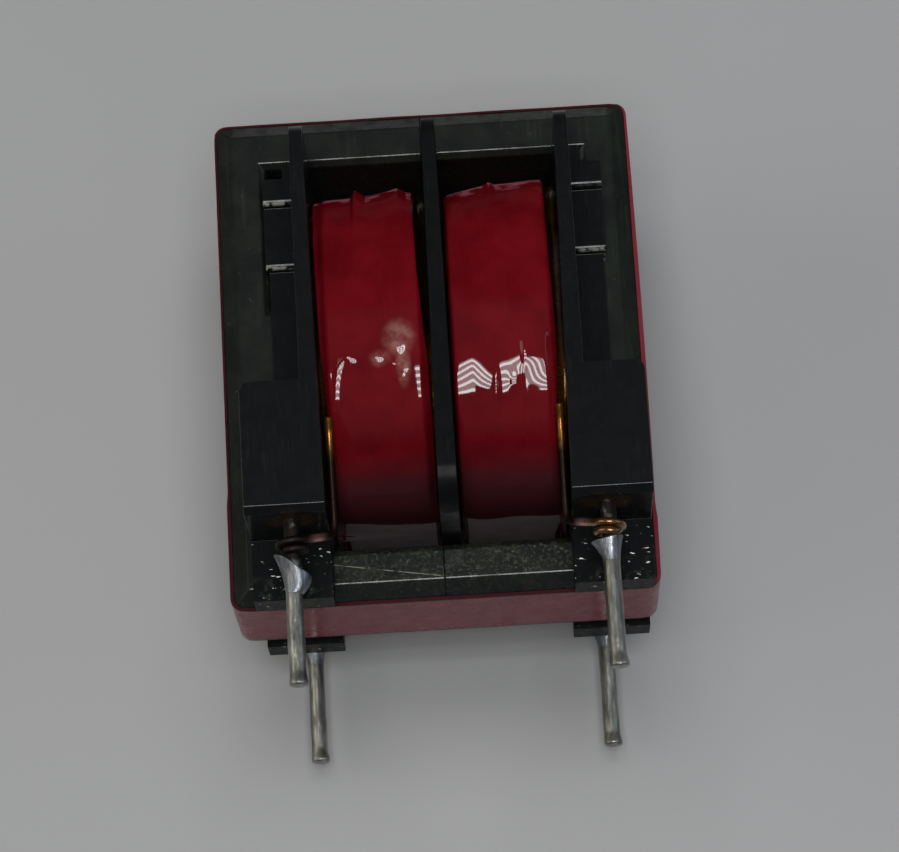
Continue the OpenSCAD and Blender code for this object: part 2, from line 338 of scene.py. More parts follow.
def make_scuffs():
    """Fine straight scratches in three directions, each only here and there."""
    tree, take, give = group(
        "scuffs",
        [("Where", "Vector", None), ("Fineness", "Float", 1.0), ("Share", "Float", 0.5)],
        [("Mask", "Float")])
    strokes = ((0.5, (9.0, 0.5, 4.0)), (-0.9, (7.0, 0.4, 3.0)), (1.35, (11.0, 0.35, 5.0)))
    lines = []
    for turn, stretch in strokes:
        drawn = laid(tree, take["Where"], stretch, (0.2, 0.1, turn))
        feeds = {0: drawn, "Scale": take["Fineness"]}
        fine = put(tree, "VectorMath", feeds, operation="SCALE").outputs[0]
        stroke = mottle(tree, fine, 1.0, 1.0, (0.63, 0.7), rough=0.4)
        patch = mottle(tree, take["Where"], 0.22 + 0.05 * turn, 2.0, (0.45, 0.62))
        lines.append(times(tree, stroke, patch))
    tree.links.new(times(tree, largest(tree, *lines), take["Share"]), give["Mask"])
    return tree


def make_near_pins():
    """1 close to the four pins' lines and 0 beyond the reach, with a ragged border."""
    tree, take, give = group(
        "near_pins",
        [("Where", "Vector", None), ("Reach", "Float", 2.0), ("Ragged", "Float", 0.6)],
        [("Mask", "Float")])
    axes = axes_of(tree, take["Where"])
    dx = minus(tree, unsigned(tree, axes["X"]), PIN_XZ[0])
    dz = minus(tree, unsigned(tree, axes["Z"]), PIN_XZ[1])
    away = sums(tree, "SQRT", plus(tree, times(tree, dx, dx), times(tree, dz, dz)))
    cloud = minus(tree, grain(tree, take["Where"], 1.7, 4.0, 0.6), 0.5)
    away = plus(tree, away, times(tree, cloud, take["Ragged"], 4.0))
    share = sums(tree, "DIVIDE", away, take["Reach"])
    tree.links.new(fade(tree, share, 0.55, 1.0), give["Mask"])
    return tree


def make_film_creases():
    """Height of small creases and of the orange-peel of a drawn plastic film."""
    tree, take, give = group(
        "film_creases", [("Where", "Vector", None), ("Depth", "Float", 1.0)],
        [("Height", "Float")])
    drawn = laid(tree, take["Where"], (1.0, 0.45, 0.6), (0.0, 0.0, 0.5))
    folds = unsigned(tree, minus(tree, grain(tree, drawn, 1.6, 2.0, 0.5, 0.6), 0.5))
    peel = times(tree, grain(tree, take["Where"], 6.0, 2.0), 0.25)
    height = plus(tree, ramp(tree, folds, 0.0, 0.12), peel)
    tree.links.new(times(tree, height, take["Depth"]), give["Height"])
    return tree


SCUFFS = make_scuffs()
NEAR_PINS = make_near_pins()
FILM_CREASES = make_film_creases()


# Finishes

def varnished_ferrite():
    """Ferrite under a patchy varnish; the lower leg is gritty, with one long scratch."""
    dark, grey = (0.0050, 0.0066, 0.0060), (0.0100, 0.0132, 0.0096)
    speck_grey, scuff_grey = (0.065, 0.073, 0.055), (0.055, 0.06, 0.052)
    crumb_grey, scratch_grey = (0.085, 0.092, 0.062), (0.19, 0.20, 0.15)
    material, tree, shader, where = finish(
        "varnished_ferrite", Coat_Roughness=0.1, IOR=1.45, Specular_IOR_Level=0.13)
    axes = axes_of(tree, where)
    speck = grain(tree, where, 3.6, 4.0, 0.7)
    marks = use(tree, SCUFFS, Where=where, Fineness=0.55, Share=0.1)
    colour = tint(tree, mottle(tree, where, 0.5, 5.0, (0.35, 0.68), rough=0.62), dark, grey)
    colour = tint(tree, ramp(tree, speck, 0.64, 0.74, 0.0, 0.75), colour, speck_grey)
    colour = tint(tree, marks, colour, scuff_grey)

    low_leg = times(tree, fade(tree, axes["Y"], 2.5, 3.2), ramp(tree, axes["Y"], 1.0, 1.3, 0.2),
                    ramp(tree, axes["X"], -6.3, -6.0))
    crumbs = times(tree, mottle(tree, where, 5.5, 5.0, (0.48, 0.72), rough=0.75),
                   mottle(tree, where, 1.1, 3.0, (0.35, 0.6), (0.35, 1.0)))
    colour = tint(tree, times(tree, low_leg, crumbs), colour, crumb_grey)
    line_y = plus(tree, times(tree, axes["X"], SCRATCH_SLOPE), SCRATCH_Y)
    off_line = unsigned(tree, minus(tree, axes["Y"], line_y))
    scratch = times(tree, fade(tree, off_line, 0.008, 0.03), fade(tree, axes["X"], -0.75, -0.5),
                    mottle(tree, where, 2.6, 2.0, (0.4, 0.55), (0.1, 1.0)))
    colour = tint(tree, times(tree, scratch, low_leg), colour, scratch_grey)

    off_middle = unsigned(tree, minus(tree, axes["X"], CORE_MID[0]))
    varnish = times(tree, mottle(tree, where, 1.3, 4.0, (0.32, 0.6), (0.4, 0.9), rough=0.6),
                    ramp(tree, off_middle, 9.3, 9.6, 1.0, 0.12))
    feed(tree, shader, Base_Color=colour, Roughness=ramp(tree, speck, 0.3, 0.7, 0.42, 0.6),
         Coat_Weight=varnish)
    grit = minus(tree, grain(tree, where, 7.0, 4.0, 0.65), times(tree, marks, 0.8))
    bump(tree, shader, grit, 0.6, 0.035)
    return material


def black_moulding():
    """Black plastic, brown by the pins, with flux flecks on the feet and strips along the stops'
    edges painted as highlights.
    """
    black, soft_black = (0.0026, 0.0032, 0.0036), (0.0048, 0.0056, 0.0060)
    scuff_grey, crust_grey = (0.03, 0.032, 0.032), (0.045, 0.048, 0.036)
    flux_brown, glint_white = (0.06, 0.028, 0.009), (0.75, 0.74, 0.66)
    glint_grey, glint_share = (0.50, 0.51, 0.42), 0.45
    material, tree, shader, where = finish(
        "black_moulding", IOR=1.5, Specular_IOR_Level=0.05, Coat_Roughness=0.1)
    axes = axes_of(tree, where)
    off_middle = unsigned(tree, axes["X"])
    marks = use(tree, SCUFFS, Where=where, Fineness=1.3, Share=0.12)
    brown = times(tree, use(tree, NEAR_PINS, Where=where, Reach=1.5, Ragged=0.3),
                  fade(tree, axes["Y"], 3.0, 3.4))
    feet = times(tree, use(tree, NEAR_PINS, Where=where, Reach=6.0, Ragged=0.5),
                 fade(tree, axes["Y"], 2.3, 3.1))
    # Flux flecks on the feet, painted bright white as highlights.
    drawn = laid(tree, where, (2.4, 6.5, 2.4), (0.0, 0.0, 0.3))
    fleck_glints = times(tree, feet, mottle(tree, drawn, 1.0, 4.0, (0.655, 0.685), rough=0.6))
    crust = times(tree, mottle(tree, where, 1.5, 5.0, (0.54, 0.66), rough=0.65),
                  times(tree, feet, fade(tree, axes["Y"], 0.5, 1.4)))
    colour = tint(tree, grain(tree, where, 0.8, 4.0), black, soft_black)
    colour = tint(tree, marks, colour, scuff_grey)
    colour = tint(tree, times(tree, crust, 0.5), colour, crust_grey)
    colour = tint(tree, times(tree, brown, 0.45), colour, flux_brown)
    colour = tint(tree, fleck_glints, colour, glint_white)

    # Pale strips along the stops' lower front edges: painted highlights.
    edges = []
    for y, z in LIP_EDGES:
        off_edge = unsigned(tree, minus(tree, axes["Y"], y + 0.12))
        edges.append(times(tree, fade(tree, off_edge, 0.02, 0.11),
                           ramp(tree, axes["Z"], z - 0.4, z - 0.2)))
    upper = times(tree, edges[1], ramp(tree, axes["X"], -1.0, 1.0, 1.0, 0.12))
    edge_glint = times(tree, plus(tree, edges[0], upper), mottle(tree, where, 3.2, 3.0, (0.38, 0.56)),
                 ramp(tree, off_middle, 7.0, 7.2))
    colour = tint(tree, times(tree, edge_glint, glint_share), colour, glint_grey)

    sheen = times(tree, ramp(tree, axes["Y"], 2.95, 3.12),
                  mottle(tree, where, 1.6, 3.0, (0.3, 0.7), (0.4, 0.65)),
                  ramp(tree, off_middle, 0.6, 0.8, 0.04))
    feed(tree, shader, Base_Color=colour, Coat_Weight=largest(tree, sheen, edge_glint),
         Roughness=mottle(tree, where, 2.5, 3.0, (0.3, 0.7), (0.3, 0.45)))
    height = plus(tree, times(tree, grain(tree, where, 1.6), 0.7), times(tree, crust, 0.8))
    height = plus(tree, height, times(tree, fleck_glints, 0.6))
    bump(tree, shader, minus(tree, height, times(tree, marks, 0.2)), 0.3, 0.04)
    return material


def red_film(name, deep, light, specular):
    """A red plastic film: its material and its clouded colour with a few light scratches."""
    material, tree, shader, where = finish(
        name, IOR=1.5, Coat_Roughness=0.04, Specular_IOR_Level=specular)
    marks = use(tree, SCUFFS, Where=where, Fineness=1.1, Share=0.06)
    colour = tint(tree, mottle(tree, where, 0.5, 3.0, (0.3, 0.7)), deep, light)
    colour = tint(tree, marks, colour, tuple(min(1.0, c * 1.5 + 0.01) for c in light))
    return material, tree, shader, where, colour


def film_gloss(tree, shader, where, colour, roughness, gloss, depth):
    """The film's colour, gloss and creases on its shader; roughness is its least and most."""
    feed(tree, shader, Base_Color=colour, Coat_Weight=gloss,
         Roughness=mottle(tree, where, 1.4, 3.0, (0.35, 0.7), roughness))
    bump(tree, shader, use(tree, FILM_CREASES, Where=where, Depth=depth), 0.15, 0.02)


def winding_film():
    """Film over the windings: glossy on the lower bend, with painted shade below it, a painted
    pale reflection on the upper turn and painted hazy highlights on the left."""
    pale, haze_highlight, lower_shade = (0.36, 0.11, 0.15), (0.34, 0.19, 0.165), (0.036, 0.0125, 0.015)
    highlight_patches = (((-1.95, 11.55, 9.7), (1.0, 0.85, 0.1)), ((-1.8, 10.2, 9.6), (2.2, 0.75, 0.1)),
              ((-2.9, 10.6, 9.6), (1.5, 1.9, 0.1)))   # middle of each patch, and its squeeze
    material, tree, shader, where, colour = red_film(
        "red_winding_film", (0.090, 0.0020, 0.0046), (0.124, 0.0036, 0.0070), 0.0)
    axes = axes_of(tree, where)
    # A pale band on the upper turn: painted reflection.
    outward = axes_of(tree, put(tree, "TexCoord").outputs["Normal"])
    border = mottle(tree, where, 1.1, 2.0, (0.3, 0.7), (-0.05, 0.05))
    turn = times(tree, ramp(tree, plus(tree, outward["Y"], border), 0.82, 0.9),
                 ramp(tree, axes["Z"], 2.6, 3.6, 0.0, 0.75))
    colour = tint(tree, turn, colour, pale)
    # Hazy pale patches on the left film: painted highlights.
    clouds = []
    for middle, squeeze in highlight_patches:
        off = put(tree, "VectorMath", {0: where, 1: middle}, operation="SUBTRACT").outputs[0]
        off = put(tree, "VectorMath", {0: off, 1: squeeze}, operation="MULTIPLY").outputs[0]
        far = put(tree, "VectorMath", {0: off}, operation="LENGTH").outputs["Value"]
        clouds.append(fade(tree, far, 0.15, 1.0))
    painted_haze = times(tree, largest(tree, *clouds),
                 mottle(tree, where, 1.7, 3.0, (0.34, 0.7), (0.12, 0.62)))
    colour = tint(tree, painted_haze, colour, haze_highlight)
    # Painted shade: the film darkens towards its lower bend.
    colour = tint(tree, ramp(tree, axes["Y"], 4.8, 6.7, 0.8, 0.0), colour, lower_shade)
    open_run = times(tree, ramp(tree, axes["Y"], 6.4, 7.6), fade(tree, axes["Y"], 12.6, 13.6))
    lower_end = ramp(tree, axes["Y"], 4.4, 4.9, 0.4, 0.0)
    gloss = plus(tree, times(tree, open_run, 0.85), lower_end, True)
    gloss = plus(tree, gloss, mottle(tree, where, 0.9, 2.0, (0.3, 0.7), (0.02, 0.1)), True)
    film_gloss(tree, shader, where, colour, (0.3, 0.4), gloss, 0.5)
    return material


def core_film():
    """Film round the core, darker along its two cut edges."""
    cut_edge = (0.035, 0.005, 0.009)
    material, tree, shader, where, colour = red_film(
        "red_core_film", (0.185, 0.020, 0.032), (0.215, 0.027, 0.041), 0.06)
    axes = axes_of(tree, where)
    edge = times(tree, ramp(tree, unsigned(tree, axes["Z"]), 2.8, 2.95),
                 ramp(tree, axes["X"], 9.6, 9.95, 1.0, 0.3))
    colour = tint(tree, edge, colour, cut_edge)
    gloss = mottle(tree, where, 0.9, 2.0, (0.3, 0.7), (0.1, 0.2))
    film_gloss(tree, shader, where, colour, (0.24, 0.34), gloss, 0.04)
    return material


def enamelled_copper():
    """Wire of the windings, with painted shade in the upper gaps; its ends carry painted shade
    lower down, then are bare, and at the pins are nearly black on the left and full of amber resin
    on the right."""
    copper, light_copper = (0.20, 0.075, 0.010), (0.36, 0.15, 0.022)
    gap_shade, low_run_shade = (0.014, 0.007, 0.004), (0.016, 0.008, 0.005)
    bare_pink, wrap_black, amber = (0.60, 0.36, 0.31), (0.008, 0.007, 0.006), (0.16, 0.075, 0.014)
    material, tree, shader, where = finish(
        "enamelled_copper", Metallic=0.9, Coat_Roughness=0.06, IOR=1.5)
    tone = grain(tree, where, 1.2)
    axes = axes_of(tree, where)
    # Painted shade on the wire below about y 7, where it runs down in the dark.
    shaded_low_run = fade(tree, plus(tree, axes["Y"], times(tree, tone, 1.5)), 6.6, 7.8)
    bare = use(tree, NEAR_PINS, Where=where, Reach=2.0, Ragged=0.1)
    # Nearly black at the wraps on the left, amber with resin on the right.
    wrap_zone = use(tree, NEAR_PINS, Where=where, Reach=1.35, Ragged=0.02)
    resin = ramp(tree, axes["X"], -1.0, 1.0)
    colour = tint(tree, ramp(tree, tone, 0.3, 0.7), copper, light_copper)
    # Painted shade on the copper high up in the narrow gaps beside the film.
    colour = tint(tree, ramp(tree, axes["Y"], 10.5, 12.5, 0.0, 0.85), colour, gap_shade)
    colour = tint(tree, shaded_low_run, colour, low_run_shade)
    colour = tint(tree, bare, colour, bare_pink)
    colour = tint(tree, wrap_zone, colour, tint(tree, resin, wrap_black, amber))
    rough = mottle(tree, where, 4.0, 3.0, (0.3, 0.7), (0.22, 0.36))
    rough = plus(tree, rough, times(tree, minus(tree, shaded_low_run, bare, True), 0.25))
    dry = times(tree, minus(tree, 1.0, resin), 0.3)
    rough = plus(tree, rough, times(tree, wrap_zone, dry), True)
    glossy = times(tree, ramp(tree, shaded_low_run, 0.2, 0.8, 0.2, 0.03),
                   ramp(tree, axes["Y"], 10.5, 12.5, 1.0, 0.4))
    feed(tree, shader, Base_Color=colour, Roughness=rough,
         Coat_Weight=largest(tree, glossy, times(tree, wrap_zone, resin)))
    bump(tree, shader, grain(tree, where, 5.0, 2.0), 0.25, 0.02)
    return material


def tinned_metal(name, dull, bright, rough, lumps, darker_from):
    """Tin or solder that has run along y, darker and browner above a given height."""
    upper_dark_brown = (0.026, 0.020, 0.018)
    material, tree, shader, where = finish(name, Metallic=1.0)
    streak = laid(tree, where, (3.0, 0.6, 3.0))
    flow = grain(tree, streak, 1.3, 5.0, 0.6)
    marks = use(tree, SCUFFS, Where=where, Fineness=2.0, Share=0.5)
    axes = axes_of(tree, where)
    # Darker and browner above a given height.
    upper_darkening = times(tree, ramp(tree, axes["Y"], darker_from, darker_from + 0.3),
                  mottle(tree, where, 2.4, 4.0, (0.3, 0.5), (0.6, 1.0)))
    colour = tint(tree, ramp(tree, flow, 0.3, 0.7), dull, bright)
    colour = tint(tree, upper_darkening, colour, upper_dark_brown)
    uneven = ramp(tree, flow, 0.3, 0.75, rough + 0.14, rough)
    feed(tree, shader, Base_Color=colour,
         Roughness=plus(tree, uneven, times(tree, upper_darkening, 0.2), True))
    height = minus(tree, grain(tree, streak, 1.8, 4.0), times(tree, marks, 0.2))
    bump(tree, shader, height, 0.6, lumps)
    return material


FERRITE = varnished_ferrite()
MOULDING = black_moulding()
WINDING_FILM = winding_film()
CORE_FILM = core_film()
COPPER = enamelled_copper()
TIN = tinned_metal("tinned_pin_metal", (0.16, 0.16, 0.145), (0.37, 0.37, 0.335), 0.28, 0.07, 0.8)
SOLDER = tinned_metal("soft_solder", (0.10, 0.105, 0.115), (0.31, 0.33, 0.36), 0.34, 0.06, 1.5)


# Core halves and bobbin: the solids with their sharp edges eased

def shade_flats_flat(mesh):
    """Shades each flat by its own direction, so that only the rounded edges between the flats
    shade as rounds."""
    level, least = 0.004, math.cos(math.radians(50))
    form = bmesh.new()
    form.from_mesh(mesh)
    form.faces.ensure_lookup_table()
    extent = {}
    for face in form.faces:
        if face in extent:
            continue
        flat, ahead = {face}, [face]
        while ahead:
            for edge in ahead.pop().edges:
                if edge.is_manifold and edge.calc_face_angle(1.0) < level:
                    beside = [f for f in edge.link_faces if f not in flat]
                    flat.update(beside)
                    ahead.extend(beside)
        area = sum(f.calc_area() for f in flat) / MM ** 2
        extent.update((f, area) for f in flat)
    directions = []
    for face in form.faces:
        for corner in face.loops:
            total = Vector()
            for other in corner.vert.link_faces:
                if other.normal.dot(face.normal) > least:
                    total += other.normal * extent[other] ** 2
            directions.append(total.normalized())
    form.free()
    mesh.normals_split_custom_set(directions)


def eased_copy(node, width, look, wide=(), wide_width=0.0):
    """The node's own form with its edges rounded over, standing in the same place.

    wide lists the (y, |z|) lines of edges along x that are rounded more, by wide_width."""
    near, sharp = 0.02, math.radians(35)
    form = bmesh.new()
    form.from_mesh(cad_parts[node].data)
    bmesh.ops.remove_doubles(form, verts=form.verts, dist=2e-6)
    bmesh.ops.dissolve_limit(form, angle_limit=math.radians(1.0), verts=form.verts,
                             edges=form.edges)

    def on_line(edge, y, z):
        return all(abs(v.co.y / MM - y) < near and abs(abs(v.co.z) / MM - z) < near
                   for v in edge.verts)

    def round_over(wanted, offset, segments):
        edges = [e for e in form.edges if e.is_manifold and wanted(e)]
        bmesh.ops.bevel(form, geom=edges, offset=offset * MM, offset_type="OFFSET",
                        segments=segments, profile=0.5, affect="EDGES", clamp_overlap=True)

    if wide:
        round_over(lambda e: any(on_line(e, y, z) for y, z in wide), wide_width, 5)
    round_over(lambda e: e.calc_face_angle(0.0) > sharp, width, 2)
    bmesh.ops.triangulate(form, faces=[f for f in form.faces if len(f.verts) > 4])
    mesh = bpy.data.meshes.new(node + "_eased")
    form.to_mesh(mesh)
    form.free()
    settle(node + "_eased", mesh, look, node, 32)
    shade_flats_flat(mesh)


eased_copy("core_half_left", 0.19, FERRITE)
eased_copy("core_half_right", 0.19, FERRITE)
eased_copy("bobbin", 0.1, MOULDING, LIP_EDGES, 0.34)


# Tape round the core: one turn and a lapped end, lying a little unevenly

def core_band():
    half_x, half_y = CORE_HALF
    lap_t, slack_most, seated, columns = 0.07, 0.10, 0.004, 30

    def spacing(a, b):
        return 0.16 if abs(a) > half_y - 0.6 and abs(b) > half_x - 0.6 else 0.4

    outer, inner = [], []
    for y, x, ny, nx, part in rounded_loop(half_y, half_x, CORE_CORNER_R, spacing):
        lap = lap_t * ease(0.095, 0.1, part) * (1 - ease(0.42, 0.425, part))
        slack = slack_most * max(0.0, nx) * math.cos(math.pi * y / 2 / half_y)
        low = -CORE_TAPE_HALF_W + 0.05 * ripple(x, y, 0, 0.35, 3)
        high = CORE_TAPE_HALF_W + 0.05 * ripple(x, y, 9, 0.4, 5)
        front, back = [], []
        for k in range(columns + 1):
            z = low + (high - low) * k / columns
            lift = 0.008 * ripple(x, y, z, 0.7, 7) + 0.003 * ripple(x, y, z, 2.2, 1)
            off_edge = min(1.0, 5 * min(k, columns - k) / columns)
            out = CORE_TAPE_T + lap + slack + lift * off_edge
            for row, off in ((front, out), (back, seated)):
                row.append((CORE_MID[0] + x + nx * off, CORE_MID[1] + y + ny * off, z))
        outer.append(front)
        inner.append(back)
    piece("core_tape_laid", *band(outer, inner), CORE_FILM, "red_tape", "core_tape", 50)


core_band()


# Windings: the outermost turns side by side under the tape

UPPER_RUN = {   # how far the upper run stands out along x
    -1: ((-5.7, -0.5), (-4.05, -0.46), (-3.85, -0.08), (-3.3, -0.4), (-2.6, -0.3),
         (-1.75, -0.08), (-1.3, -0.3)),
    1: ((0.45, -0.62), (2.5, -0.22), (2.8, -0.06), (3.1, -0.2), (4.0, -0.16), (5.4, -0.04)),
}
END_DIP = {-1: (0.5, 0.4), 1: (0.15, 0.48)}   # width of the dip at the inner and the outer rib


def seat(side, x, y):
    """How far a winding's front and upper run lie outside the solid, as the wire was laid, or
    inside it below 0; x and y on the part."""
    top = ease(16.5, 20.6, y)
    front = 0.14 + 0.125 * min(0.0, x + 1.0) if side < 0 else 0.0
    return front * (1 - top) * ease(3.5, 7.0, y) + along(x, UPPER_RUN[side]) * top


def sunk(side, x, y, z):
    """0 over the width of a winding and up to 1 at its two ends, where the front turns and the
    film dip; 0 at the back."""
    inner, outer = END_DIP[side]
    end = max(ease(inner, 0.0, abs(x) - WINDING_X[0]), ease(outer, 0.0, WINDING_X[1] - abs(x)))
    return end * ease(2.0, 6.0, z) * (1 - 0.8 * ease(17.5, 20.0, y))


def winding(side):
    half_y, half_z = WINDING_HALF
    low, tall, columns = -9.85, 19.7, 8 * TURNS
    groove, below = 0.16, 0.02   # depth between two turns, and of their tops under the solid's face
    outer, inner = [], []
    for a, z, ny, nz, part in rounded_loop(half_y, half_z, WINDING_R, lambda a, b: 0.42):
        y = CORE_MID[1] + a
        up = (a - low) / tall
        start, end = sorted((side * (WINDING_X[0] - 0.045 - 0.15 * up),
                             side * (WINDING_X[1] + 0.045 + 0.3 * up)))
        pitch = (end - start) / TURNS
        front, back = [], []
        for k in range(columns + 1):
            x = start + (end - start) * k / columns
            turn = (x - start) / pitch + part
            across = turn % 1.0 * 2 - 1
            depth = groove * (1 - math.sqrt(max(0.0, 1 - 0.97 * across * across))) + below
            depth += sunk(side, x, y, z) - seat(side, x, y) * ease(-0.3, 0.3, z)
            depth += 0.015 * ripple(math.floor(turn) * 1.7, part * 9, 0, 1.0, 11)
            for row, off in ((front, depth), (back, WINDING_BUILD)):
                row.append((x, y - ny * off, z - nz * off))
        outer.append(front)
        inner.append(back)
    name = SIDES[side]
    piece("winding_turns_" + name, *band(outer, inner), COPPER, "copper_wire",
          "winding_" + name, 60)


winding(-1)
winding(1)


# Tape over the windings: a crowned film with the creases and uneven edges of a hand-wound turn

HOOK = [(-4.35, 11.0), (-4.70, 10.72), (-4.96, 10.24), (-5.10, 9.46), (-5.17, 8.58)]
EDGE_FOLD = [(-5.40, 10.15), (-5.33, 8.3)]
DENTS = [   # on the left, as x, y, width, height, lift
    (-3.15, 10.72, 0.40, 0.26, 0.075), (-2.12, 11.12, 0.42, 0.30, 0.100),
    (-1.72, 11.45, 0.20, 0.30, 0.085), (-4.42, 10.78, 0.36, 0.26, 0.070),
    (-2.52, 10.45, 0.12, 0.10, 0.020), (-2.32, 10.35, 0.12, 0.10, 0.020),
    (-1.82, 10.00, 0.15, 0.12, 0.020), (-1.90, 9.75, 0.10, 0.10, 0.012),
]
FOLD_X = 2.62   # the upright fold on the right, between two runs that are twisted along x
INNER_TWIST = ((0.4, -0.04), (1.5, 0.06), (2.45, -0.12), (2.8, -0.12))
OUTER_TWIST = ((2.45, -0.12), (2.8, -0.02), (3.3, 0.0), (3.8, 0.05), (4.0, 0.15), (5.0, -0.04),
               (5.3, -0.08))
# How far the film's edges on the front lie inside those of the solid, along y
LEFT_OUTER_EDGE = ((4.0, 0.25), (6.2, 0.25), (8.4, 0.1), (10.8, -0.05), (18.0, -0.2))
LEFT_INNER_EDGE = ((7.5, 0.0), (10.3, 0.03), (12.0, 0.16), (15.0, 0.34), (19.0, 0.46))
RIGHT_INNER_EDGE = -0.05
RIGHT_OUTER_EDGE = ((5.0, 0.2), (7.3, 0.38), (8.8, 0.22), (11.5, 0.12), (16.0, 0.26))


def to_line(x, y, line):
    """Distance from a point to a broken line."""
    best = math.inf
    for (ax, ay), (bx, by) in zip(line, line[1:]):
        dx, dy = bx - ax, by - ay
        t = min(1.0, max(0.0, ((x - ax) * dx + (y - ay) * dy) / (dx * dx + dy * dy)))
        best = min(best, math.hypot(x - ax - t * dx, y - ay - t * dy))
    return best


def film_lift(side, x, y):
    """How far the film on the front stands off its plain form; x and y on the part."""
    if side < 0:
        lift = 0.035 * hill(to_line(x, y, HOOK), 0.0, 0.12)
        lift += 0.03 * hill(to_line(x, y, EDGE_FOLD), 0.0, 0.1)
        for mid_x, mid_y, wide, tall, up in DENTS:
            lift += up * hill(x, mid_x, wide) * hill(y, mid_y, tall)
    else:
        twist = along(x, INNER_TWIST if x < FOLD_X else OUTER_TWIST)
        lift = twist * (y - 9.7) * hill(y, 9.7, 1.5)
        lift += 0.035 * hill(x, FOLD_X, 0.14) * hill(y, 9.5, 1.8)
        straight = ease(3.75, 3.95, x) * (1 - ease(5.0, 5.2, x))   # a strip pulled straight
        lift += 0.055 * straight * (y - 9.75) ** 2 * hill(y, 9.75, 1.1)
        lift += 0.05 * hill(x, 3.5, 0.26) * hill(y, 9.15, 0.38)    # a blister beside it
        lift -= 0.10 * ease(4.95, 5.4, x) * (1 - ease(10.4, 12.2, y))   # the edge pulled down
        lift += 0.004 * ripple(x, y, 0, 1.0, 25) * ease(7.5, 9.5, y)
    return lift + 0.006 * ripple(x, y, 0, 0.45, 27)


def tape_edges(side, y, front):
    """Left and right edge of the film at height y; front is 1 on the front and 0 at the back."""
    if side < 0:
        return (-TAPE_X[1] + front * along(y, LEFT_OUTER_EDGE),
                -TAPE_X[0] - front * along(y, LEFT_INNER_EDGE))
    return TAPE_X[0] + front * RIGHT_INNER_EDGE, TAPE_X[1] - front * along(y, RIGHT_OUTER_EDGE)


def winding_tape(side):
    half_y, half_z = WINDING_HALF
    gap, columns = 0.02, 84

    def spacing(a, b):
        on_stripes = b > 6 and -5.4 < a < -0.4
        return 0.06 if on_stripes else 0.16 if b > 4 else 0.42

    outer, inner = [], []
    for a, z, ny, nz, _ in rounded_loop(half_y + gap, half_z + gap, WINDING_R + gap, spacing):
        y = CORE_MID[1] + a
        left, right = tape_edges(side, y, ease(1.5, 4.5, z))
        left += 0.02 * ripple(0, y, z, 0.8, 31)
        right += 0.02 * ripple(9, y, z, 0.8, 33)
        over, under = [], []
        for k in range(columns + 1):
            u = k / columns
            x = left + (right - left) * u
            rim = (2 * u - 1) ** 8
            out = TAPE_T - 0.03 - 0.07 * rim
            if nz > 0.2:
                out += film_lift(side, x, y) * ease(0.2, 0.7, nz)
            else:
                out += 0.012 * ripple(x, y, z, 0.6, 35)
            out += seat(side, x, y) * ease(-0.3, 0.3, z) - 0.4 * sunk(side, x, y, z)
            base = min(out - 0.06, out - 0.10 + 0.05 * rim)
            for row, off in ((over, out), (under, base)):
                row.append((x, y + ny * off, z + nz * off))
        outer.append(over)
        inner.append(under)
    name = SIDES[side]
    piece("winding_film_" + name, *band(outer, inner), WINDING_FILM, "red_tape",
          "winding_tape_" + name, 60)


winding_tape(-1)
winding_tape(1)


# Pins, wire ends and solder

def round_pin(row, side, r, y, cx, cz):
    """A point at radius r and height y, in the direction cx, cz from the pin's line."""
    return side * PIN_XZ[0] + r * cx, y, row * PIN_XZ[1] + r * cz


def pin(corner, row, side):
    """A tinned pin: a drawn shank and an uneven tail that flares a little at its cut end."""
    seed = 40 + 3 * row + 7 * side
    heights = [7.2, 7.18] + [7.0 - 0.25 * k for k in range(27)]   # the shank
    heights += [0.25 - 0.12 * k for k in range(41)]               # the tail
    heights += [-4.65, -4.75, -4.82, -4.88, -4.92, -4.95, -4.975, -4.99, -4.998]   # its end
    end_y, end_r = -4.885, 0.115   # where the rounding of the cut end starts, and its radius
    rings = []
    for y in heights:
        base = PIN_R if y > 0.5 else PIN_R + 0.005 + 0.015 * ease(0.5, 0.0, y)
        past_end = max(0.0, end_y - y) / end_r
        bead = 0.02 * hill(y, -3.4 - 0.3 * side, 0.5) - 0.11 * (1 - math.sqrt(1 - past_end ** 2))
        flare = ease(-4.25, -4.9, y)
        ring = []
        for cx, cz in circle(28):
            uneven = 0.018 * ripple(cx, y * 0.8, cz, 0.8, seed) * ease(1.0, -0.5, y)
            r = base + bead + uneven + (0.06 + 0.035 * cx) * flare
            ring.append(round_pin(row, side, r, y, cx, cz))
        rings.append(ring)
    piece("pin_tinned_" + corner, *tube(rings), TIN, "tinned_pin", "pin_" + corner, 50)


def lead_line():
    """Middle line of the wire end at the right front, off the winding's bend and round the pin."""
    lead_x, bend_y, bend_z, bend_r = 5.53, 11.27, 2.7, 6.92
    out_angle, leave_angle, wrap_angle = 28, 34, -60
    wrap_y, wrap_r, wrap_pitch, turn_r = 1.97, 0.62, 0.42, 0.6

    def on_bend(degrees):
        a = math.radians(degrees)
        return Vector((lead_x, bend_y - bend_r * math.sin(a), bend_z + bend_r * math.cos(a)))

    def on_pin(degrees):
        a = math.radians(degrees)
        return Vector((PIN_XZ[0] + wrap_r * math.sin(a),
                       wrap_y - wrap_pitch * (degrees - wrap_angle) / 360,
                       PIN_XZ[1] + wrap_r * math.cos(a)))

    leave, wrap = on_bend(leave_angle), on_pin(wrap_angle)
    corner = Vector((lead_x, 2.62, 7.15))
    down = corner + turn_r * (leave - corner).normalized()
    across = corner + turn_r * (wrap - corner).normalized()
    line = [on_bend(out_angle + 0.75 * k) for k in range(9)]
    line += [leave.lerp(down, k / 20) for k in range(1, 20)]
    line += [(1 - u) ** 2 * down + 2 * u * (1 - u) * corner + u * u * across
             for u in (k / 14 for k in range(15))]
    line += [across.lerp(wrap, k / 12) for k in range(1, 12)]
    line += [on_pin(wrap_angle + 7.5 * k) for k in range(61)]
    return line


